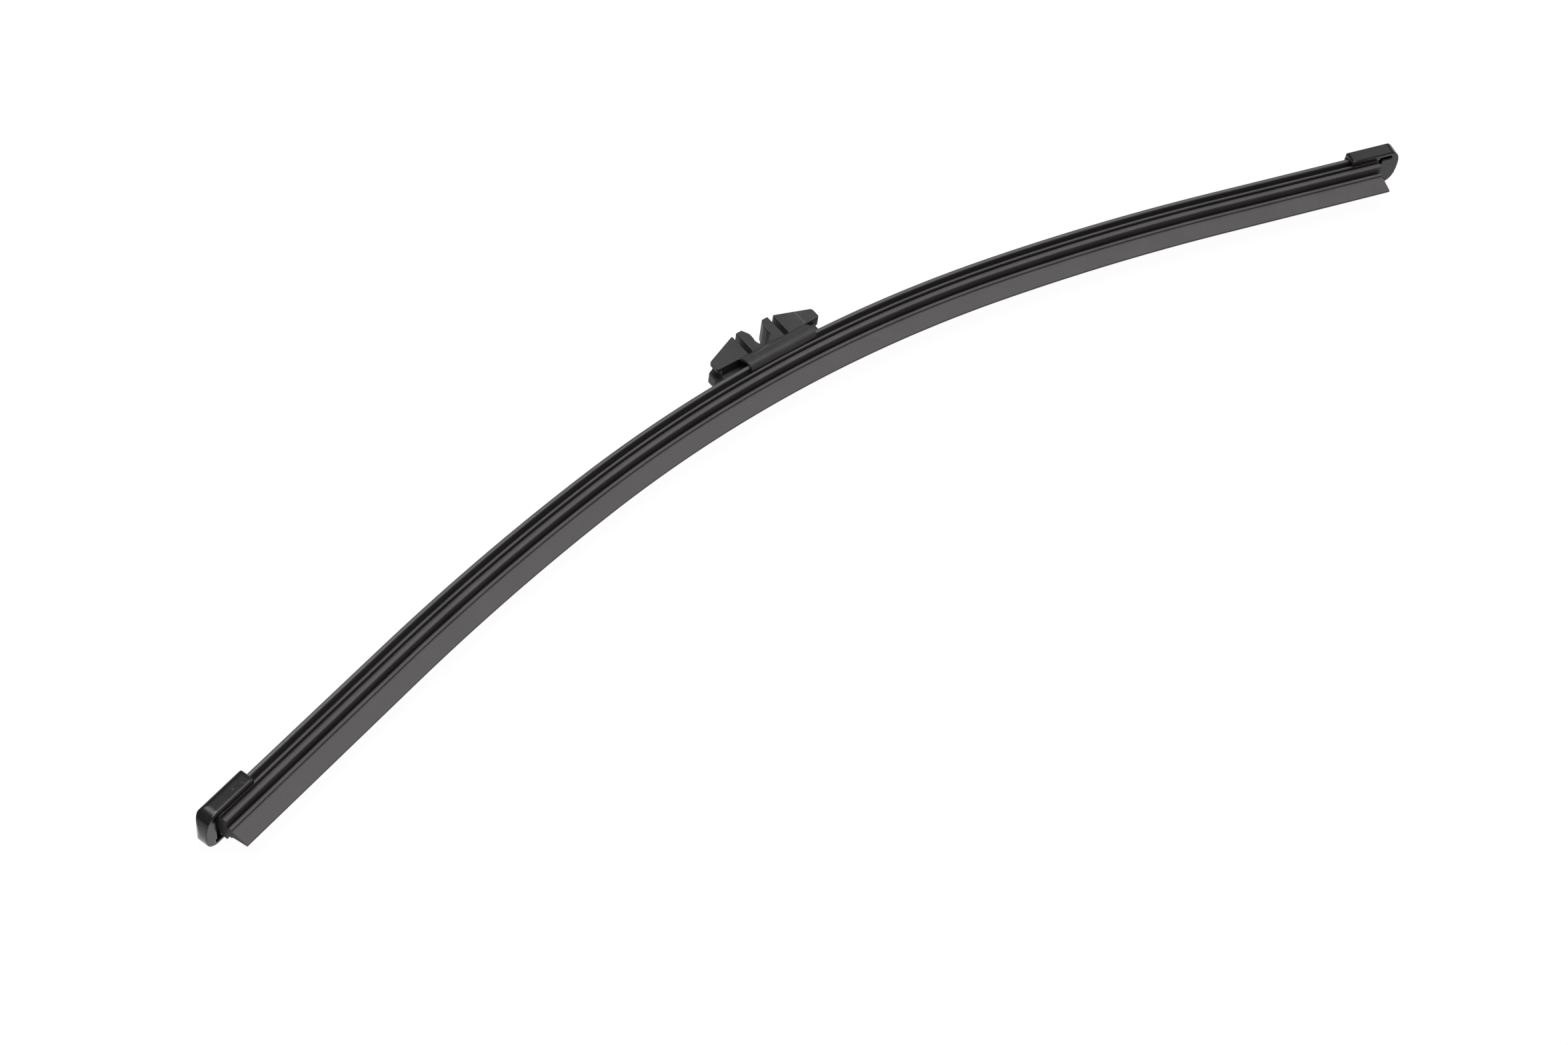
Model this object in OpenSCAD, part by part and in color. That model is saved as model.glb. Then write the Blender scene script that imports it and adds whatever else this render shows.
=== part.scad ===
// Flat wiper blade with an outside spring: a rubber element held between two
// spring rails, an arm connector clipped over the rails and a cap on each end.
// The blade lies on its side. X runs along the blade, Y points away from the
// glass and Z is across the blade. The origin is the centre of the pin seat.

/* [Blade] */
// Length of the rubber from the connector's centre to the left end
arm_left = 192.5; // [170:0.5:240]
// Length of the rubber from the connector's centre to the right end
arm_right = 187.5; // [170:0.5:240]
// Bend radius of the lip edge in the middle stretch
mid_r = 383; // [300:1:600]
// Half length of the middle stretch along the lip edge
mid_half = 64.5; // [40:0.5:80]
// Bend radius of the lip edge in the outer stretches
outer_r = 690; // [600:5:1200]
// Length of each outer stretch before the straight ends
outer_len = 70; // [40:1:80]
// Height of the pin seat's centre above the lip edge
pin_h = 17; // [17:0.1:19]

/* [Rubber] */
// Half thickness of the lip at its cut edge
lip_edge = 0.35; // [0.25:0.05:0.5]
// Half thickness of the lip at its root
lip_root = 1.25; // [0.9:0.05:1.5]
// Height of the lip
lip_h = 4.7; // [4:0.1:6]
// Half width of the shoulder over the lip
shoulder_w = 1.8; // [1.6:0.1:2.4]
// Height of the shoulder
shoulder_h = 0.9; // [0.6:0.1:1.4]
// Half thickness of the tilting web
web_w = 0.5; // [0.4:0.05:0.8]
// Height of the tilting web
web_h = 0.6; // [0.4:0.1:1]
// Half width of the lower ridge
ridge_low_w = 3.8; // [3.4:0.1:4.1]
// Height of the lower ridge
ridge_low_h = 1.5; // [1.2:0.1:2]
// Half width of the rubber in the groove between the ridges
groove_w = 2.8; // [2:0.1:3.2]
// Height of the groove between the ridges
groove_h = 0.4; // [0.3:0.1:0.8]
// Half width of the upper ridge
ridge_up_w = 4.2; // [3.9:0.1:4.4]
// Height of the upper ridge
ridge_up_h = 0.7; // [0.6:0.05:1]
// Half width of the rubber in the recess that the hooks reach into
recess_w = 2.2; // [1.6:0.1:2.8]
// Height of that recess
recess_h = 1; // [0.9:0.05:1.2]
// Half thickness of the web between the rails
core_w = 1; // [0.7:0.05:1.2]
// Half width of the flange over the rails
head_w = 3; // [2.4:0.1:3.4]
// Thickness of the flange over the rails
head_t = 0.35; // [0.3:0.05:0.6]

/* [Rails] */
// Thickness of a spring rail
rail_t = 1; // [0.8:0.05:1.2]
// Width of a spring rail
rail_w = 3.8; // [3.5:0.1:3.9]
// Play between a rail and the rubber, on each face
rail_gap = 0.05; // [0.03:0.01:0.1]
// Play between a rail's end and the nose of its cap
rail_end = 0.5; // [0.2:0.1:1]
// Distance from the blade's middle to the tips that hook under the rails
hook_in = 3.5; // [3:0.1:3.7]

/* [Connector] */
// Radius of the pin seat
pin_r = 2.45; // [2.3:0.05:2.6]
// Half width of the neck over the pin seat
neck_w = 2.25; // [2:0.05:2.28]
// Height of the neck's upper end over the pin seat's centre
neck_top = 2.6; // [1.6:0.1:3]
// Half width of the mouth at its top
mouth_w = 3.35; // [2.6:0.05:3.6]
// Half depth of the block across the blade
block_z = 3.88; // [3.6:0.02:4.2]
// Height of the tabs beside the mouth over the pin seat's centre
tab_top = 4.75; // [4:0.05:5.5]
// Thickness of a tab at its top
tab_t = 1.9; // [1.4:0.1:2.2]
// Width of the slit between a tab and its end block
slit_w = 1.37; // [1:0.01:1.6]
// Depth of the slits below the pin seat's centre
slit_low = 2.6; // [1.5:0.1:2.8]
// Height of an end block beside its slit
block_top = 4.5; // [3.5:0.1:5]
// Height of an end block at its outer end
block_low = 0.6; // [0:0.1:1.5]
// Length of an end block
block_len = 10.2; // [9:0.1:12]
// Depth of the end blocks' underside below the pin seat's centre
block_under = 2.7; // [2.6:0.1:3]
// Radius of the end blocks' corners
block_round = 0.6; // [0.3:0.1:1]
// Radius of an end block's upper corner beside its slit
slit_round = 0.3; // [0.1:0.1:1]
// Depth of the notch in each block's outer end
notch_d = 1.7; // [1:0.1:2.2]
// Width of that notch
notch_w = 3.2; // [2.4:0.1:3.6]
// Thickness of the wall beside that notch
notch_wall = 1.2; // [0.8:0.1:1.6]
// Height of the line raised across one end block
line_h = 0.06; // [0.04:0.02:0.2]
// Width of that line
line_w = 0.35; // [0.2:0.05:0.6]
// Place of that line from the pin seat's centre
line_x = 12.2; // [10:0.1:14]
// Length of a claw on its short side
claw_short = 9.8; // [8.6:0.1:11]
// Length of a claw on its long side
claw_long = 11.7; // [9:0.1:13]
// Radius of a claw's outer curve
claw_r = 3.8; // [3.7:0.05:4]
// Radius of a claw's hook under the rail
hook_r = 1.8; // [1:0.1:1.8]
// Wall of a claw
claw_t = 0.85; // [0.6:0.05:0.85]
// Play between a claw and a rail
claw_gap = 0.1; // [0.05:0.01:0.15]
// Half length of the solid core under the pin seat
seat_core = 5.6; // [4:0.1:7]
// Reach of the core past the blade's middle towards the ends
core_past = 0.4; // [0:0.1:1]
// Reach of the core on its own side of the blade's middle
core_side = 2.1; // [1.4:0.1:3]
// Half length of the base plate between the claws
base_x = 8.6; // [7.5:0.1:9.5]
// Thickness of the base plate
base_t = 1.2; // [0.8:0.1:1.6]

/* [End caps] */
// Length of a cap along its middle
cap_len = 16.2; // [15.6:0.1:19]
// Length of the left cap over the rubber
cap_on_left = 11.5; // [9:0.5:11.5]
// Length of the right cap over the rubber
cap_on_right = 9; // [8.5:0.5:11.5]
// Wall of a cap
cap_t = 1.3; // [1:0.05:1.5]
// Thickness of a cap's roof
cap_roof = 1.1; // [0.9:0.05:1.4]
// Thickness of a cap's nose along its middle
nose_t = 3; // [2.8:0.1:3.8]
// Play between a cap and what it encloses
cap_gap = 0.1; // [0.05:0.01:0.15]
// Radius of a cap's nose in plan
nose_r = 14; // [10:0.5:20]
// Radius of a cap's nose, seen from the side
nose_edge = 2.5; // [1:0.1:3]
// Radius of a cap's corners in plan
cap_corner = 4; // [3:0.1:4.5]
// Radius of a cap's upper edges
cap_edge = 1.2; // [0.6:0.1:1.3]
// Radius of a cap's lower outer edges
foot_edge = 0.3; // [0.1:0.05:0.4]
// Radius of a cap's corners at its mouth
cap_mouth = 0.7; // [0.3:0.1:0.8]
// Height of a cap's inturned flange
flange_h = 0.8; // [0.5:0.05:0.85]
// Length of a cap's inturned flange
flange_len = 9.2; // [8:0.1:11]
// Distance of a cap's floor from the rubber's end
floor_gap = 1.2; // [0.4:0.1:1.5]
// Half width of a cap's floor
floor_w = 3.9; // [3.4:0.1:4.4]
// Distance of the lugs under the rails from a cap's mouth
lug_x = 1.5; // [0.5:0.5:3]
// Length of the lug that hooks under each rail
lug_len = 3; // [2:0.5:5]

/* [Hidden] */
$fn = 64;
// Steps in a full turn of the blade's long bends
arch_fn = 720;
turn = 180 / PI;
// Length by which a cut runs past the face it opens
cut = 1;
// Angle by which a bend runs past the plane that trims it
spare_a = 0.2;
// Side of the block that trims a bend
room = 200;

// Heights over the lip edge
h_shoulder = lip_h + shoulder_h;
h_web = h_shoulder + web_h;
h_low = h_web + ridge_low_h;
h_groove = h_low + groove_h;
h_up = h_groove + ridge_up_h;
h_seat = h_up + recess_h;
h_rail = h_seat + rail_gap;
h_slot = h_rail + rail_t + rail_gap;
h_head = h_slot + head_t;

// Distances across the blade
rail_in = core_w + rail_gap;
rail_out = rail_in + rail_w;
claw_z = rail_out + claw_gap + claw_t - claw_r;
claw_y = h_rail + rail_t;
cap_in = rail_out + cap_gap;
cap_z = cap_in + cap_t;
cap_top = h_head + cap_gap + cap_roof;
cap_deep = cap_len - nose_t;

// Turning angles of the lip edge
mid_a = mid_half / mid_r * turn;
outer_a = outer_len / outer_r * turn;
bend_a = mid_a + outer_a / 2;
mid_c = [0, -pin_h - mid_r];
outer_c = mid_c + (mid_r - outer_r) * [sin(mid_a), cos(mid_a)];
bend_p = outer_c + outer_r * [sin(bend_a), cos(bend_a)];

function unit(v) = v / norm(v);
function turned(v, q) = [v.x * cos(q) - v.y * sin(q), v.x * sin(q) + v.y * cos(q)];

// Corner b between a and c, as an arc of radius r in n steps
function corner(a, b, c, r, n) =
    let (u = unit(a - b), v = unit(c - b), q = acos(u * v))
    let (o = b + unit(u + v) * r / sin(q / 2), s = b + u * r / tan(q / 2) - o)
    let (e = b + v * r / tan(q / 2) - o, way = sign(cross(s, e)))
    r == 0 ? [b] : [for (i = [0:n]) o + turned(s, way * (180 - q) * i / n)];

// Outline p with corner i rounded to the radius r[i]
function rounded(p, r, n = 6) = [
    for (i = [0:len(p) - 1])
        each corner(p[(i + len(p) - 1) % len(p)], p[i], p[(i + 1) % len(p)], r[i], n)
];

// Profile of half widths and heights, mirrored across the blade's middle
function both(p) = concat(p, [for (i = [len(p) - 1:-1:0]) [p[i].x, -p[i].y]]);

// Frame at the middle of the right arm's outer bend, with X along the lip edge
module bend_frame() {
    translate([bend_p.x, bend_p.y, 0])
        rotate([0, 0, -bend_a])
            children();
}

// Frame where the middle bend meets the outer one, seen from the bend's middle
module joint_frame() {
    translate([-outer_r * sin(outer_a / 2), outer_r * (cos(outer_a / 2) - 1), 0])
        rotate([0, 0, outer_a / 2])
            children();
}

// Frame of the rubber's end face on the right arm of the length l
module at_end(l) {
    bend_frame()
        mirror([1, 0, 0])
            joint_frame()
                mirror([1, 0, 0])
                    translate([l - mid_half - outer_len, 0, 0])
                        children();
}

// Section bent to the radius r from the frame's plane towards -X, through q
module bent(r, q) {
    translate([0, -r, 0])
        rotate([0, 0, 90])
            rotate_extrude(angle = q, $fn = arch_fn)
                translate([r, 0])
                    children();
}

// Section of heights and half widths swept along the right arm of the length l
module arm(l) {
    intersection() {
        bend_frame()
            joint_frame()
                bent(mid_r, mid_a + spare_a)
                    children();
        translate([0, -mid_r, -room / 2])
            cube([room, 2 * mid_r, room]);
    }
    bend_frame()
        for (s = [0, 1])
            mirror([s, 0, 0])
                intersection() {
                    joint_frame()
                        mirror([1, 0, 0])
                            bent(outer_r, outer_a / 2 + spare_a)
                                children();
                    translate([-room, -room, -room / 2])
                        cube([room, 2 * room, room]);
                }
    bend_frame()
        mirror([1, 0, 0])
            joint_frame()
                mirror([1, 0, 0])
                    rotate([90, 0, 90])
                        linear_extrude(l - mid_half - outer_len)
                            children();
}

// Section swept along the whole arched blade, to a on the right, b on the left
module along(a, b) {
    arm(a)
        children();
    mirror([1, 0, 0])
        arm(b)
            children();
}

// Half section of the rubber, as heights over the lip edge and half widths
rubber_half = [
    [0, lip_edge],
    [lip_h, lip_root],
    [lip_h, shoulder_w],
    [h_shoulder, shoulder_w],
    [h_shoulder, web_w],
    [h_web, web_w],
    [h_web, ridge_low_w],
    [h_low, ridge_low_w],
    [h_low, groove_w],
    [h_groove, groove_w],
    [h_groove, ridge_up_w],
    [h_up, ridge_up_w],
    [h_up, recess_w],
    [h_seat, recess_w],
    [h_seat, core_w],
    [h_slot, core_w],
    [h_slot, head_w],
    [h_head, head_w]
];

// Rubber strip with its lip, web, ridges, rail slots and head flange
module rubber_element() {
    color([0.26, 0.25, 0.24])
        along(arm_right, arm_left)
            polygon(both(rubber_half));
}

// Section of one rail, flat on the inner side and rounded on the outer one
module rail_section() {
    translate([h_rail, rail_in])
        square([rail_t, rail_w - rail_t / 2]);
    translate([h_rail + rail_t / 2, rail_out - rail_t / 2])
        circle(r = rail_t / 2);
}

// Spring rail in the rubber's slot on the upper side of the lying blade
module rail_upper() {
    color([0.08, 0.08, 0.08])
        along(arm_right - cap_on_right + cap_deep - rail_end, arm_left - cap_on_left + cap_deep - rail_end)
            rail_section();
}

// The same rail in the slot on the lower side
module rail_lower() {
    mirror([0, 0, 1])
        rail_upper();
}

// Depth of the base plate's underside below the pin seat's centre
base_low = block_under + base_t;
// Drop of the rails' upper face at the claws' ends
sag = claw_long * claw_long / 2 / mid_r + claw_gap;
// Lower limit of the core before the channel is cut
core_low = -pin_h + claw_y - sag;

// Outline of one end block, seen from the side
block_x = tab_t + mouth_w + slit_w;
block_end = block_x + block_len;
block_outline = rounded(
    [
        [block_x, -block_under],
        [block_x, block_top],
        [block_end, block_low],
        [block_end, -block_under]
    ],
    [0, slit_round, block_round * 1.5, block_round]
);

// Outline of the seat's body with the mouth and the neck open to the top
body_outline = [
    [-block_x, -base_low],
    [-block_x, -slit_low],
    [-mouth_w - tab_t, -slit_low],
    [-mouth_w - tab_t, tab_top],
    [-mouth_w, tab_top],
    [-neck_w, neck_top],
    [-neck_w, 0],
    [neck_w, 0],
    [neck_w, neck_top],
    [mouth_w, tab_top],
    [mouth_w + tab_t, tab_top],
    [mouth_w + tab_t, -slit_low],
    [block_x, -slit_low],
    [block_x, -base_low]
];

// Block with the pin seat, the two tabs and the two end blocks
module block() {
    difference() {
        translate([0, 0, -block_z])
            linear_extrude(2 * block_z) {
                polygon(body_outline);
                polygon(block_outline);
                mirror([1, 0])
                    polygon(block_outline);
                translate([-base_x, -base_low])
                    square([2 * base_x, base_low - slit_low]);
            }
        cylinder(r = pin_r, h = 2 * block_z + 2 * cut, center = true);
        for (q = [0, 180])
            rotate([0, q, 0])
                translate([block_end - notch_d, -block_under - cut, notch_wall - block_z])
                    cube([notch_d + cut, block_top + block_under + 2 * cut, notch_w]);
    }
}

// Fine line raised across one end block's side
module raised_line() {
    linear_extrude(block_z + line_h)
        intersection() {
            polygon(block_outline);
            translate([line_x - line_w / 2, -block_under])
                square([line_w, block_under + block_top]);
        }
}

// Core that stands over the rubber's head, whole in the middle and on one
// side of the blade towards each end
module core() {
    translate([-seat_core, core_low, -block_z])
        cube([2 * seat_core, -slit_low - core_low, 2 * block_z]);
    for (q = [0, 180])
        rotate([0, q, 0])
            translate([0, core_low, -core_past])
                cube([block_end - notch_d, -slit_low - core_low, core_past + core_side]);
}

// Outline of one claw, as distances across the blade and heights over the lip
claw_outline = rounded(
    [
        [core_w, h_up + claw_gap],
        [claw_z + claw_r, h_up + claw_gap],
        [claw_z + claw_r, claw_y + claw_r],
        [core_w, claw_y + claw_r]
    ],
    [0, hook_r, claw_r, 0],
    12
);

// Section of one claw, hollow where it goes round the rail
module claw_section() {
    difference() {
        polygon(claw_outline);
        square([hook_in, claw_y + claw_r + cut]);
        intersection() {
            translate([claw_z, claw_y])
                circle(r = claw_r - claw_t - claw_gap / 2);
            translate([0, claw_y - claw_gap])
                square(claw_r * 2);
        }
    }
}

// One row of claws hooked around a rail, from x = a to x = b on the +Z side
module claw(a, b) {
    translate([a, -pin_h, 0])
        mirror([1, 0, 0])
            rotate([0, -90, 0])
                linear_extrude(b - a)
                    claw_section();
}

// Room that the rails and the rubber's head take, with the claws' play
module channel() {
    translate([mid_c.x, mid_c.y, 0])
        rotate([0, 0, 90 - mid_a])
            rotate_extrude(angle = 2 * mid_a, $fn = arch_fn)
                translate([mid_r + h_rail - claw_gap, -rail_out - claw_gap])
                    square([h_head - h_rail + 2 * claw_gap, 2 * (rail_out + claw_gap)]);
}

module arm_connector() {
    color([0.24, 0.245, 0.25])
        difference() {
            union() {
                block();
                core();
                claw(-claw_short, claw_long);
                rotate([0, 180, 0])
                    claw(-claw_short, claw_long);
                for (q = [0, 180])
                    rotate([0, q, 0])
                        raised_line();
            }
            channel();
        }
}

// Height of a cap's lower edge
cap_low = h_groove;
// Centre of a cap's corner in plan, and the angle where it meets the nose
nose_c = cap_len - nose_r;
corner_x = sqrt(pow(nose_r - cap_corner, 2) - pow(cap_z - cap_corner, 2));
corner_q = atan2(cap_z - cap_corner, corner_x);
// Half outline of a cap in plan, from its mouth to its bent nose
plan_half = concat(
    corner([0, 0], [0, cap_z], [cap_len, cap_z], cap_mouth, 4),
    [
        for (q = [90:-(90 - corner_q) / 10:corner_q + 0.01])
            [nose_c + corner_x, cap_z - cap_corner] + cap_corner * [cos(q), sin(q)]
    ],
    [for (k = [1, 0.7, 0.4, 0.1]) [nose_c, 0] + nose_r * [cos(corner_q * k), sin(corner_q * k)]]
);

// Cap in the frame of the rubber's end face, reaching over it by on
module cap(on) {
    translate([-on, 0, 0]) {
        difference() {
            intersection() {
                rotate([-90, 0, 0])
                    linear_extrude(cap_top)
                        polygon(both(plan_half));
                translate([-cut, 0, 0])
                    rotate([90, 0, 90])
                        linear_extrude(cap_len + 2 * cut)
                            polygon(rounded(
                                [[cap_low, -cap_z], [cap_top, -cap_z], [cap_top, cap_z], [cap_low, cap_z]],
                                [foot_edge, cap_edge, cap_edge, foot_edge]
                            ));
                translate([0, 0, -cap_z - cut])
                    linear_extrude(2 * cap_z + 2 * cut)
                        polygon(rounded(
                            [[0, cap_low], [0, cap_top], [cap_len, cap_top], [cap_len, cap_low]],
                            [0, cap_mouth, nose_edge, 0]
                        ));
            }
            translate([-cut, cap_low - cut, -cap_in])
                cube([cap_deep + cut, cap_top - cap_roof - cap_low + cut, 2 * cap_in]);
        }
        translate([on + floor_gap, cap_low, -floor_w])
            cube([cap_len - nose_t / 2 - on - floor_gap, h_rail - cap_gap - cap_low, 2 * floor_w]);
        for (s = [0, 1])
            mirror([0, 0, s]) {
                translate([0, cap_low, ridge_up_w + cap_gap])
                    cube([flange_len, flange_h, cap_in + cap_t / 2 - ridge_up_w - cap_gap]);
                translate([lug_x, h_up + cap_gap, hook_in])
                    cube([lug_len, recess_h + rail_gap - 2 * cap_gap, cap_in + cap_t / 2 - hook_in]);
            }
    }
}

module end_cap_right() {
    color([0.13, 0.13, 0.13])
        at_end(arm_right)
            cap(cap_on_right);
}

module end_cap_left() {
    color([0.13, 0.13, 0.13])
        mirror([1, 0, 0])
            at_end(arm_left)
                cap(cap_on_left);
}

rubber_element();
rail_lower();
rail_upper();
arm_connector();
end_cap_left();
end_cap_right();
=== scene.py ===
import bpy
import bmesh
import math
from mathutils import Matrix, Vector


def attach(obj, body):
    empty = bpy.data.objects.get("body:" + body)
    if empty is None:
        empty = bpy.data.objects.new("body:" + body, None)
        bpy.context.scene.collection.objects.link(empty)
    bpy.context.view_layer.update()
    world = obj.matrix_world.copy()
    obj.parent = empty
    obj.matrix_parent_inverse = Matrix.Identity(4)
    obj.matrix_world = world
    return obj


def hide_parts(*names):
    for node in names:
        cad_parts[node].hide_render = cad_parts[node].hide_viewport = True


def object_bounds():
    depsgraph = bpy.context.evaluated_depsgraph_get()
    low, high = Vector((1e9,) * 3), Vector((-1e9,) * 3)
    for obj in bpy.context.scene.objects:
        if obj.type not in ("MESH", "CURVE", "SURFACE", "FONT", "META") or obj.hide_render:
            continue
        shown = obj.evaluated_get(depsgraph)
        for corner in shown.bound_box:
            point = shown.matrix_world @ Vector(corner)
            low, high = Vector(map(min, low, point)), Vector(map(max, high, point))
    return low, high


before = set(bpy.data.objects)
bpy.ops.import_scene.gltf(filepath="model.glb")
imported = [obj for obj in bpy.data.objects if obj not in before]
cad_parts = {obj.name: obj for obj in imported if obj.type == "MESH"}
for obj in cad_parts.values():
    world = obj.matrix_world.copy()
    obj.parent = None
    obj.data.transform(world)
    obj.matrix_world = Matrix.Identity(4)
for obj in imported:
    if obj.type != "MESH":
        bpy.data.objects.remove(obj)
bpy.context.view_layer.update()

MM = 0.001

# Camera at the photograph's viewing angle
RIGHT = Vector((0.782619, -0.613930, 0.102943))
UP = Vector((0.442910, 0.665370, 0.600927))
LOOK = Vector((0.437423, 0.424703, -0.792647))
PLACE = Vector((-0.354120, -0.362779, 0.586253))
cam_data = bpy.data.cameras.new("camera")
cam = bpy.data.objects.new("camera", cam_data)
bpy.context.scene.collection.objects.link(cam)
cam_data.sensor_fit = "HORIZONTAL"
cam_data.sensor_width = 36.0
cam_data.lens = 68.204
cam_data.clip_start = 0.01
cam_data.clip_end = 20.0
cam.matrix_world = Matrix(
    (
        (RIGHT.x, UP.x, -LOOK.x, PLACE.x),
        (RIGHT.y, UP.y, -LOOK.y, PLACE.y),
        (RIGHT.z, UP.z, -LOOK.z, PLACE.z),
        (0, 0, 0, 1),
    )
)
bpy.context.scene.camera = cam

# Arch of the blade, in millimetres: the pin seat's height over the lip edge, the middle stretch's
# radius and half length, the outer stretches' radius and length, and the rubber's two arms
PIN_H = 17.0
MID_R, MID_HALF = 383.0, 64.5
OUTER_R, OUTER_LEN = 690.0, 70.0
ARM_LEFT, ARM_RIGHT = 192.5, 187.5

# Heights over the lip edge at which the rubber's section changes, in millimetres
LIP_TOP = 4.7
SHOULDER_TOP = 5.6
WEB_TOP = 6.2
RIDGE_LOW_TOP = 7.7
GROOVE_TOP = 8.1
RIDGE_UP_TOP = 8.8
RECESS_TOP = 9.8
SLOT_TOP = 10.9
HEAD_TOP = 11.25

# Half widths of the rubber's section, in millimetres
LIP_EDGE_W = 0.35
SHOULDER_W = 1.8
WEB_W = 0.5
RIDGE_LOW_W = 3.8
GROOVE_W = 2.8
RIDGE_UP_W = 4.2
RECESS_W = 2.2
CORE_W = 1.0
HEAD_W = 3.0

# Rails, in millimetres: heights of their two faces, distances of their long edges from the
# blade's middle, lengths of their arms, and radii of their lower and upper edges
RAIL_LOW, RAIL_HIGH = 9.85, 10.85
RAIL_IN, RAIL_OUT = 1.05, 4.85
RAIL_LEFT, RAIL_RIGHT = 193.7, 191.2
RAIL_ROUND, RAIL_SHARP = 0.38, 0.12

# Step along the blade between two rings of a swept mesh, in millimetres
RING_STEP = 1.5
# Angle over which an edge of a swept mesh stays sharp
SHARP_ANGLE = math.radians(38)
# Largest part of a side that a rounded corner may take
CORNER_SHARE = 0.45
# Angle from straight, in radians, under which a corner is left as it is
STRAIGHT = 0.02


def lip_point(s):
    """Place and turning angle of the lip edge at the arc length s from the connector's centre."""
    side = -1.0 if s < 0 else 1.0
    length = abs(s)
    mid_turn = MID_HALF / MID_R
    turn = min(length, MID_HALF) / MID_R
    x = MID_R * math.sin(turn)
    y = MID_R * (math.cos(turn) - 1)
    outer_turn = min(max(length - MID_HALF, 0.0), OUTER_LEN) / OUTER_R
    x += OUTER_R * (math.sin(mid_turn + outer_turn) - math.sin(mid_turn))
    y += OUTER_R * (math.cos(mid_turn + outer_turn) - math.cos(mid_turn))
    turn += outer_turn
    straight = max(length - MID_HALF - OUTER_LEN, 0.0)
    x += straight * math.cos(turn)
    y -= straight * math.sin(turn)
    return side * x, y - PIN_H, -side * turn


def blade_point(s, h, z):
    """Point at the arc length s, the height h over the lip edge and z across the blade."""
    x, y, turn = lip_point(s)
    return Vector((x - math.sin(turn) * h, y + math.cos(turn) * h, z)) * MM


def rounded(points, radii, steps):
    """Closed outline with its corners turned into arcs."""
    out = []
    for i, radius in enumerate(radii):
        corner = Vector(points[i])
        back = Vector(points[i - 1]) - corner
        ahead = Vector(points[(i + 1) % len(points)]) - corner
        room = CORNER_SHARE * min(back.length, ahead.length)
        radius = min(radius, room)
        back.normalize()
        ahead.normalize()
        angle = back.angle(ahead)
        if radius <= 0 or angle > math.pi - STRAIGHT:
            out.append(tuple(corner))
            continue
        cut = min(radius / math.tan(angle / 2), room)
        radius = cut * math.tan(angle / 2)
        centre = corner + (back + ahead).normalized() * (radius / math.sin(angle / 2))
        first = corner + back * cut - centre
        last = corner + ahead * cut - centre
        way = 1.0 if first.x * last.y - first.y * last.x > 0 else -1.0
        for k in range(steps + 1):
            turn = way * (math.pi - angle) * k / steps
            x = centre.x + first.x * math.cos(turn) - first.y * math.sin(turn)
            y = centre.y + first.x * math.sin(turn) + first.y * math.cos(turn)
            out.append((x, y))
    return out


def subdivided(points, longest):
    """Closed outline with no side longer than the given length."""
    out = []
    for k, a in enumerate(points):
        b = points[(k + 1) % len(points)]
        parts = max(1, math.ceil(math.dist(a, b) / longest))
        for i in range(parts):
            out.append((a[0] + (b[0] - a[0]) * i / parts, a[1] + (b[1] - a[1]) * i / parts))
    return out


def sweep(name, outline, start, end):
    """Closed outline of heights and widths swept along the blade between two arc lengths."""
    last = round((end - start) / RING_STEP)
    count = len(outline)
    bm = bmesh.new()
    rings = []
    for k in range(last + 1):
        s = start + (end - start) * k / last
        rings.append([bm.verts.new(blade_point(s, h, z)) for h, z in outline])
    for ring, after in zip(rings, rings[1:]):
        for i in range(count):
            j = (i + 1) % count
            bm.faces.new((ring[i], ring[j], after[j], after[i]))
    bm.faces.new(rings[0])
    bm.faces.new(list(reversed(rings[-1])))
    bmesh.ops.recalc_face_normals(bm, faces=bm.faces)
    mesh = bpy.data.meshes.new(name)
    bm.to_mesh(mesh)
    bm.free()
    for polygon in mesh.polygons:
        polygon.use_smooth = True
    obj = bpy.data.objects.new(name, mesh)
    bpy.context.scene.collection.objects.link(obj)
    mesh.set_sharp_from_angle(angle=SHARP_ANGLE)
    return obj


# Kinds of node that calculate, and the sockets of a node that mixes two colours
MATH, VECTOR_MATH = "ShaderNodeMath", "ShaderNodeVectorMath"
MIX_SHARE, MIX_FIRST, MIX_SECOND, MIX_RESULT = 0, 6, 7, 2
# Roughness of every noise, and the limits between which most of its values lie
NOISE_ROUGHNESS = 0.55
NOISE_LOW, NOISE_HIGH = 0.3, 0.7
# Part of a mark's width that has its full strength
MARK_CORE = 0.2

# Rubber: its colour under full painted shade, its tones where no shade is painted, and the share
# of the specks
RUBBER_PAINTED_SHADE = (0.012, 0.011, 0.011, 1)
RUBBER_TONES = (
    (0.45, (0.075, 0.069, 0.069)),
    (0.7, (0.089, 0.082, 0.083)),
    (0.95, (0.106, 0.098, 0.099)),
)
SPECK_SHARE = 0.35
# Rails: their tones
RAIL_TONES = ((0.3, (0.054, 0.054, 0.054)), (0.7, (0.062, 0.062, 0.062)))

# Marks with their start, end and width in millimetres, their strength and their tint: a painted
# highlight along the fine line on the connector's +Z face, and the nick and the hair scratch on
# the left cap's +Z face
# Painted highlight: a lighter line laid along the connector's fine line
CONNECTOR_PAINTED_HIGHLIGHT = (((12.2, 4.0, 3.94), (12.2, -2.6, 3.94), 0.22, 0.6, (0.13, 0.13, 0.135)),)
CAP_MARKS = (
    ((-185.12, -41.77, 6.25), (-184.9, -42.05, 6.25), 0.11, 0.55, (0.3, 0.3, 0.32)),
    ((-182.54, -41.25, 6.25), (-181.56, -42.82, 6.25), 0.1, 0.45, (0.13, 0.13, 0.13)),
    ((-181.56, -42.82, 6.25), (-180.61, -44.39, 6.25), 0.1, 0.6, (0.15, 0.15, 0.15)),
)


def feed(tree, socket, value):
    """Links the socket to another one, or sets it to a plain value."""
    if isinstance(value, bpy.types.NodeSocket):
        tree.links.new(value, socket)
    else:
        socket.default_value = value


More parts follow.
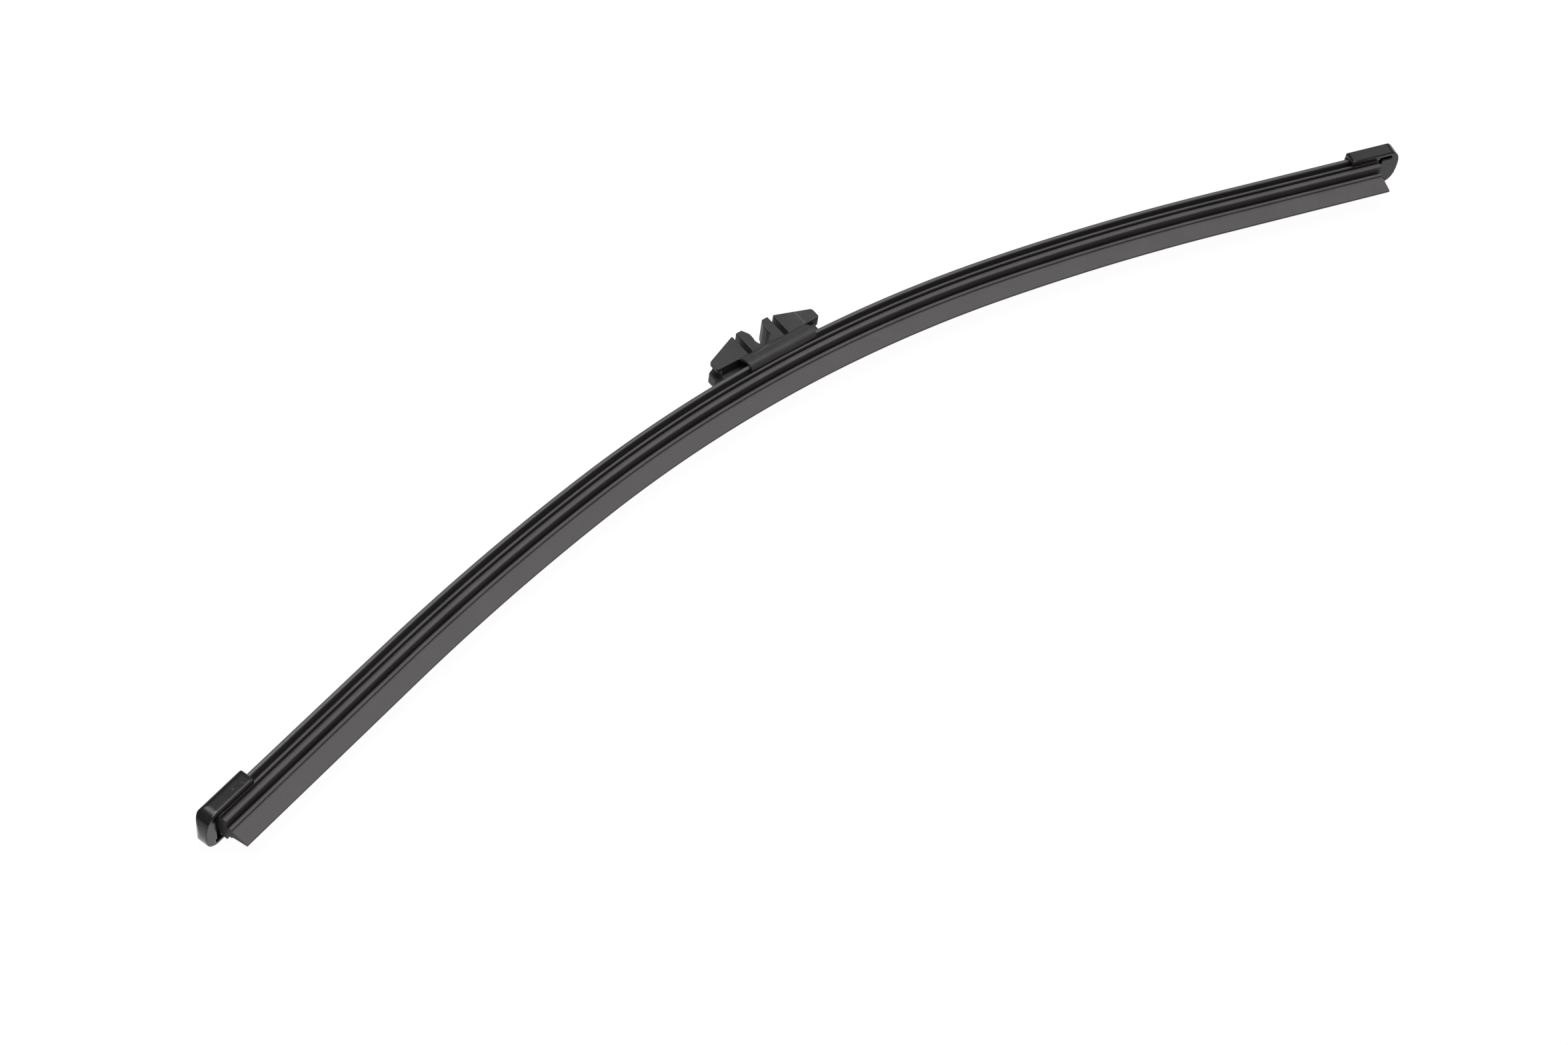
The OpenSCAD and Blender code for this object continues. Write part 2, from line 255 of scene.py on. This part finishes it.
def operate(tree, kind, operation, *values):
    """Outputs of a Math or Vector Math node."""
    node = tree.nodes.new(kind)
    node.operation = operation
    for socket, value in zip(node.inputs, values):
        feed(tree, socket, value)
    return node.outputs


def mix_colours(tree, share, first, second):
    """Node that mixes two colours."""
    node = tree.nodes.new("ShaderNodeMix")
    node.data_type = "RGBA"
    feed(tree, node.inputs[MIX_SHARE], share)
    feed(tree, node.inputs[MIX_FIRST], first)
    feed(tree, node.inputs[MIX_SECOND], second)
    return node


def noise(tree, scale, detail):
    """Value of a noise in the object's own coordinates."""
    coord = tree.nodes.new("ShaderNodeTexCoord")
    texture = tree.nodes.new("ShaderNodeTexNoise")
    texture.inputs["Scale"].default_value = scale
    texture.inputs["Detail"].default_value = detail
    texture.inputs["Roughness"].default_value = NOISE_ROUGHNESS
    tree.links.new(coord.outputs["Object"], texture.inputs["Vector"])
    return texture.outputs["Fac"]


def ramp(tree, value, stops):
    """Colour of the value on a ramp, whose stops are a position and a colour each."""
    node = tree.nodes.new("ShaderNodeValToRGB")
    elements = node.color_ramp.elements
    while len(elements) > 1:
        elements.remove(elements[-1])
    for k, (position, colour) in enumerate(stops):
        element = elements[0] if k == 0 else elements.new(position)
        element.position = position
        element.color = (*colour, 1)
    tree.links.new(value, node.inputs["Fac"])
    return node.outputs["Color"]


def spread(tree, value, low, high):
    """A noise's value spread from low to high."""
    node = tree.nodes.new("ShaderNodeMapRange")
    node.inputs["From Min"].default_value = NOISE_LOW
    node.inputs["From Max"].default_value = NOISE_HIGH
    node.inputs["To Min"].default_value = low
    node.inputs["To Max"].default_value = high
    tree.links.new(value, node.inputs["Value"])
    return node.outputs["Result"]


def bump(tree, value, distance, strength, under=None):
    """Normal of a relief, laid over another one where that is given."""
    node = tree.nodes.new("ShaderNodeBump")
    node.inputs["Distance"].default_value = distance
    node.inputs["Strength"].default_value = strength
    tree.links.new(value, node.inputs["Height"])
    if under is not None:
        tree.links.new(under, node.inputs["Normal"])
    return node.outputs["Normal"]


def segment(tree, start, end, width):
    """Mask that is one on the line from start to end and fades out over the width."""
    coord = tree.nodes.new("ShaderNodeTexCoord")
    start = Vector(start) * MM
    way = Vector(end) * MM - start
    place = operate(tree, VECTOR_MATH, "SUBTRACT", coord.outputs["Object"], start)["Vector"]
    reach = operate(tree, VECTOR_MATH, "DOT_PRODUCT", place, way)["Value"]
    along = operate(tree, MATH, "MULTIPLY", reach, 1 / way.length_squared)[0]
    along.node.use_clamp = True
    nearest = tree.nodes.new(VECTOR_MATH)
    nearest.operation = "SCALE"
    nearest.inputs[0].default_value = way
    tree.links.new(along, nearest.inputs["Scale"])
    off = operate(tree, VECTOR_MATH, "SUBTRACT", place, nearest.outputs["Vector"])["Vector"]
    length = operate(tree, VECTOR_MATH, "LENGTH", off)["Value"]
    fade = tree.nodes.new("ShaderNodeMapRange")
    fade.interpolation_type = "SMOOTHSTEP"
    fade.inputs["From Min"].default_value = MARK_CORE * width * MM
    fade.inputs["From Max"].default_value = width * MM
    fade.inputs["To Min"].default_value = 1
    fade.inputs["To Max"].default_value = 0
    tree.links.new(length, fade.inputs["Value"])
    return fade.outputs["Result"]


def new_material(name):
    """Empty material with its node tree and its one shader."""
    material = bpy.data.materials.new(name)
    material.use_nodes = True
    tree = material.node_tree
    tree.nodes.clear()
    out = tree.nodes.new("ShaderNodeOutputMaterial")
    shader = tree.nodes.new("ShaderNodeBsdfPrincipled")
    tree.links.new(shader.outputs["BSDF"], out.inputs["Surface"])
    return material, tree, shader


def dress(tree, shader, colour, roughness, normal, specular):
    """Gives the shader its colour, roughness, relief and gloss."""
    tree.links.new(colour, shader.inputs["Base Color"])
    tree.links.new(roughness, shader.inputs["Roughness"])
    tree.links.new(normal, shader.inputs["Normal"])
    shader.inputs["Specular IOR Level"].default_value = specular


def rubber_material():
    """Matt rubber, blotched and specked, with painted shade where the mesh's painted_light share
    is low and a painted highlight where it passes one.
    """
    material, tree, shader = new_material("matt_rubber")
    blotch = noise(tree, scale=90.0, detail=4.0)
    speck = noise(tree, scale=2600.0, detail=2.0)
    mixed = operate(tree, MATH, "MULTIPLY_ADD", speck, SPECK_SHARE, blotch)[0]
    full_light_tone = ramp(tree, mixed, RUBBER_TONES)
    # Painted shade and highlight: the tone is mixed from the shade colour by the mesh's
    # painted_light share, and past the full tone where that share passes one
    share = tree.nodes.new("ShaderNodeAttribute")
    share.attribute_name = "painted_light"
    tint = mix_colours(tree, share.outputs["Fac"], RUBBER_PAINTED_SHADE, full_light_tone)
    tint.clamp_factor = False
    roughness = spread(tree, blotch, low=0.5, high=0.66)
    fine = bump(tree, noise(tree, scale=3200.0, detail=2.0), distance=0.00002, strength=0.5)
    coarse = noise(tree, scale=260.0, detail=3.0)
    relief = bump(tree, coarse, distance=0.00004, strength=0.4, under=fine)
    dress(tree, shader, tint.outputs[MIX_RESULT], roughness, relief, specular=0.28)
    return material


def rail_material():
    """Steel strip with a smooth black coat."""
    material, tree, shader = new_material("black_coated_steel")
    tone = noise(tree, scale=700.0, detail=3.0)
    colour = ramp(tree, tone, RAIL_TONES)
    roughness = spread(tree, tone, low=0.34, high=0.42)
    relief = bump(tree, noise(tree, scale=1500.0, detail=2.0), distance=0.000006, strength=0.3)
    dress(tree, shader, colour, roughness, relief, specular=0.6)
    return material


def plastic_material(name, dark, light, roughness, specular, grain, marks):
    """Moulded plastic between two tones, with a fine grain and the given marks: nicks, scratches
    and painted highlight lines.
    """
    material, tree, shader = new_material(name)
    colour = ramp(tree, noise(tree, scale=160.0, detail=4.0), ((0.3, dark), (0.72, light)))
    for start, end, width, strength, tint in marks:
        mask = segment(tree, start, end, width)
        share = operate(tree, MATH, "MULTIPLY", mask, strength)[0]
        colour = mix_colours(tree, share, colour, (*tint, 1)).outputs[MIX_RESULT]
    rough = spread(tree, noise(tree, scale=420.0, detail=3.0), *roughness)
    relief = bump(tree, noise(tree, scale=2400.0, detail=2.0), distance=grain, strength=0.6)
    dress(tree, shader, colour, rough, relief, specular)
    return material


# Materials of the rubber, the rails, the connector and the caps
rubber = rubber_material()
rail = rail_material()
connector = plastic_material(
    "matt_plastic",
    dark=(0.033, 0.0331, 0.0342),
    light=(0.045, 0.0452, 0.0468),
    roughness=(0.42, 0.52),
    specular=0.3,
    grain=0.000012,
    marks=CONNECTOR_PAINTED_HIGHLIGHT,
)
cap = plastic_material(
    "satin_plastic",
    dark=(0.012, 0.012, 0.0122),
    light=(0.016, 0.016, 0.0162),
    roughness=(0.17, 0.2),
    specular=0.35,
    grain=0.000003,
    marks=CAP_MARKS,
)


def assign(obj, material):
    """Puts the material in every slot of the object."""
    if not obj.material_slots:
        obj.data.materials.append(material)
    for slot in obj.material_slots:
        slot.material = material


# One half of the rubber's section, from the lip edge up: each corner's height, half width and
# radius in millimetres, with the fine rounding that a moulded edge has
HALF = [
    (0.0, LIP_EDGE_W, 0.05),
    (4.55, 1.21, 0.0),
    (LIP_TOP, 1.35, 0.05),
    (LIP_TOP, SHOULDER_W, 0.15),
    (SHOULDER_TOP, SHOULDER_W, 0.2),
    (SHOULDER_TOP, WEB_W, 0.15),
    (WEB_TOP, WEB_W, 0.15),
    (WEB_TOP, RIDGE_LOW_W, 0.25),
    (RIDGE_LOW_TOP, RIDGE_LOW_W, 0.6),
    (RIDGE_LOW_TOP, GROOVE_W, 0.12),
    (GROOVE_TOP, GROOVE_W, 0.12),
    (GROOVE_TOP, RIDGE_UP_W, 0.2),
    (RIDGE_UP_TOP, RIDGE_UP_W, 0.4),
    (RIDGE_UP_TOP, RECESS_W, 0.15),
    (RECESS_TOP, RECESS_W, 0.08),
    (RECESS_TOP, CORE_W, 0.05),
    (SLOT_TOP, CORE_W, 0.05),
    (SLOT_TOP, HEAD_W, 0.05),
    (HEAD_TOP, HEAD_W, 0.12),
]


# Share of painted light: a painted highlight on the lip's cut edge, the tone on flat faces, and
# painted shade in the hollows of the web and the groove
PAINTED_EDGE_HIGHLIGHT, PAINTED_FLAT_LIGHT, PAINTED_GROOVE_SHADE = 1.12, 0.9, 0.65
# Height of the lip's cut edge with its rounding, and what a face's heights may be off by, in
# millimetres
EDGE_TOP = 0.12
MARGIN = 0.05


def painted_light(h, z):
    """Share of painted light on the rubber: painted shade in the hollows of the web and the
    groove and towards the top of each side face, under the step above, and a painted highlight on
    the lip's cut edge.
    """
    w = abs(z)

    def fade(top, length, least):
        """Painted shade that is deepest at the top and gone at the length below it."""
        return least + (1 - least) * min(max((top - h) / length, 0.0), 1.0)

    if h < EDGE_TOP:
        return PAINTED_EDGE_HIGHLIGHT
    if h < LIP_TOP + 0.02:
        return fade(top=LIP_TOP + MARGIN, length=0.55, least=0.85)
    if h < SHOULDER_TOP + MARGIN:
        on_side = w > SHOULDER_W - 0.2
        return fade(top=SHOULDER_TOP, length=0.5, least=0.75) if on_side else PAINTED_FLAT_LIGHT
    if WEB_TOP - MARGIN < h < RIDGE_LOW_TOP + MARGIN and w > RIDGE_LOW_W - 0.8:
        return fade(top=RIDGE_LOW_TOP, length=0.95, least=0.45)
    if GROOVE_TOP - MARGIN < h < RIDGE_UP_TOP + MARGIN and w > RIDGE_UP_W - 0.6:
        return fade(top=RIDGE_UP_TOP, length=0.45, least=0.6)
    return PAINTED_GROOVE_SHADE if h < GROOVE_TOP + 0.1 else PAINTED_FLAT_LIGHT


# Rubber strip, swept from its section
section = HALF + [(h, -z, radius) for h, z, radius in reversed(HALF)]
corners = [(h, z) for h, z, radius in section]
outline = subdivided(rounded(corners, [radius for h, z, radius in section], steps=3), longest=0.3)
strip = sweep("rubber_strip", outline, -ARM_LEFT, ARM_RIGHT)
# Painted light and shade for each point of the section, the same in every ring
shade = strip.data.attributes.new("painted_light", "FLOAT", "POINT")
rings = len(strip.data.vertices) // len(outline)
shade.data.foreach_set("value", [painted_light(h, z) for h, z in outline] * rings)
assign(strip, rubber)
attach(strip, "root")
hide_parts("rubber_element")

# Steel rails with the rounded edges of rolled strip
for name, z0, z1 in (("rail_upper", RAIL_IN, RAIL_OUT), ("rail_lower", -RAIL_OUT, -RAIL_IN)):
    corners = [(RAIL_LOW, z0), (RAIL_LOW, z1), (RAIL_HIGH, z1), (RAIL_HIGH, z0)]
    radii = [RAIL_ROUND, RAIL_ROUND, RAIL_SHARP, RAIL_SHARP]
    outline = subdivided(rounded(corners, radii, steps=5), longest=0.5)
    bar = sweep(name + "_bar", outline, -RAIL_LEFT, RAIL_RIGHT)
    assign(bar, rail)
    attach(bar, "root")
    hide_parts(name)

# Materials of the solids, those under a swept piece too
for name, material in (
    ("rail_lower", rail),
    ("rail_upper", rail),
    ("arm_connector", connector),
    ("end_cap_left", cap),
    ("end_cap_right", cap),
):
    assign(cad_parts[name], material)


def soften(obj, cell, passes):
    """Rounds every edge of a moulded piece: a fine even mesh, smoothed in passes."""
    obj.modifiers.new("joined", "WELD").merge_threshold = 0.000001
    even = obj.modifiers.new("even_mesh", "REMESH")
    even.mode = "VOXEL"
    even.voxel_size = cell
    even.use_smooth_shade = True
    melt = obj.modifiers.new("soft_edges", "SMOOTH")
    melt.factor = 0.5
    melt.iterations = passes


soften(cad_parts["arm_connector"], cell=0.00016, passes=6)
soften(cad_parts["end_cap_left"], cell=0.00014, passes=20)
soften(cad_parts["end_cap_right"], cell=0.00014, passes=20)

# Floor: half its side in metres, its own tone, the strength of its white, and the share of that
# white where the camera or a reflection sees it
FLOOR_HALF = 4.0
FLOOR_TONE = (0.4, 0.4, 0.4, 1)
FLOOR_WHITE = 1.08
FLOOR_SHARE = 0.9
WHITE = (1, 1, 1, 1)


def floor_material():
    """White where the camera or a reflection sees it, and pale grey for the light."""
    material = bpy.data.materials.new("floor_white")
    material.use_nodes = True
    tree = material.node_tree
    tree.nodes.clear()
    out = tree.nodes.new("ShaderNodeOutputMaterial")
    pale = tree.nodes.new("ShaderNodeBsdfDiffuse")
    pale.inputs["Color"].default_value = FLOOR_TONE
    white = tree.nodes.new("ShaderNodeEmission")
    white.inputs["Color"].default_value = WHITE
    white.inputs["Strength"].default_value = FLOOR_WHITE
    ray = tree.nodes.new("ShaderNodeLightPath").outputs
    seen = operate(tree, MATH, "MAXIMUM", ray["Is Camera Ray"], ray["Is Glossy Ray"])[0]
    share = operate(tree, MATH, "MULTIPLY", seen, FLOOR_SHARE)[0]
    mix = tree.nodes.new("ShaderNodeMixShader")
    tree.links.new(share, mix.inputs["Fac"])
    tree.links.new(pale.outputs[0], mix.inputs[1])
    tree.links.new(white.outputs[0], mix.inputs[2])
    tree.links.new(mix.outputs[0], out.inputs["Surface"])
    return material


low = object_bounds()[0][2]
floor_mesh = bpy.data.meshes.new("floor")
half = FLOOR_HALF
floor_mesh.from_pydata(
    [(-half, -half, low), (half, -half, low), (half, half, low), (-half, half, low)],
    [],
    [(0, 1, 2, 3)],
)
floor = bpy.data.objects.new("floor", floor_mesh)
bpy.context.scene.collection.objects.link(floor)
floor_mesh.materials.append(floor_material())

# World, white to the camera and dim for the light
WORLD_DIM = 0.18
world = bpy.data.worlds.new("studio")
bpy.context.scene.world = world
world.use_nodes = True
sky = world.node_tree.nodes["Background"]
sky.inputs["Color"].default_value = WHITE
camera_ray = world.node_tree.nodes.new("ShaderNodeLightPath").outputs["Is Camera Ray"]
glow = operate(world.node_tree, MATH, "MULTIPLY_ADD", camera_ray, 1 - WORLD_DIM, WORLD_DIM)[0]
world.node_tree.links.new(glow, sky.inputs["Strength"])


def lamp(name, place, target, sides, power):
    """Flat lamp with its place, its two sides in metres and its power in watts."""
    data = bpy.data.lights.new(name, "AREA")
    data.energy = power
    data.shape = "RECTANGLE"
    data.size, data.size_y = sides
    obj = bpy.data.objects.new(name, data)
    obj.location = place
    way = Vector(target) - Vector(place)
    obj.rotation_euler = way.to_track_quat("-Z", "Y").to_euler()
    bpy.context.scene.collection.objects.link(obj)


CENTRE = (0, 0, 0)
lamp("key", place=(-0.15, 0.15, 1.5), target=CENTRE, sides=(1.0, 1.0), power=15.6)
lamp("strip", place=(0.75, -0.12, 1.45), target=CENTRE, sides=(1.2, 0.2), power=5.5)
lamp("side", place=(1.6, 0.75, 1.45), target=(0.15, 0, 0), sides=(1.2, 1.2), power=4)
lamp("glint", place=(0.12, 0.48, 1.45), target=(-0.19, 0, 0), sides=(0.16, 0.16), power=1.4)

view = bpy.context.scene.view_settings
view.view_transform = "Standard"
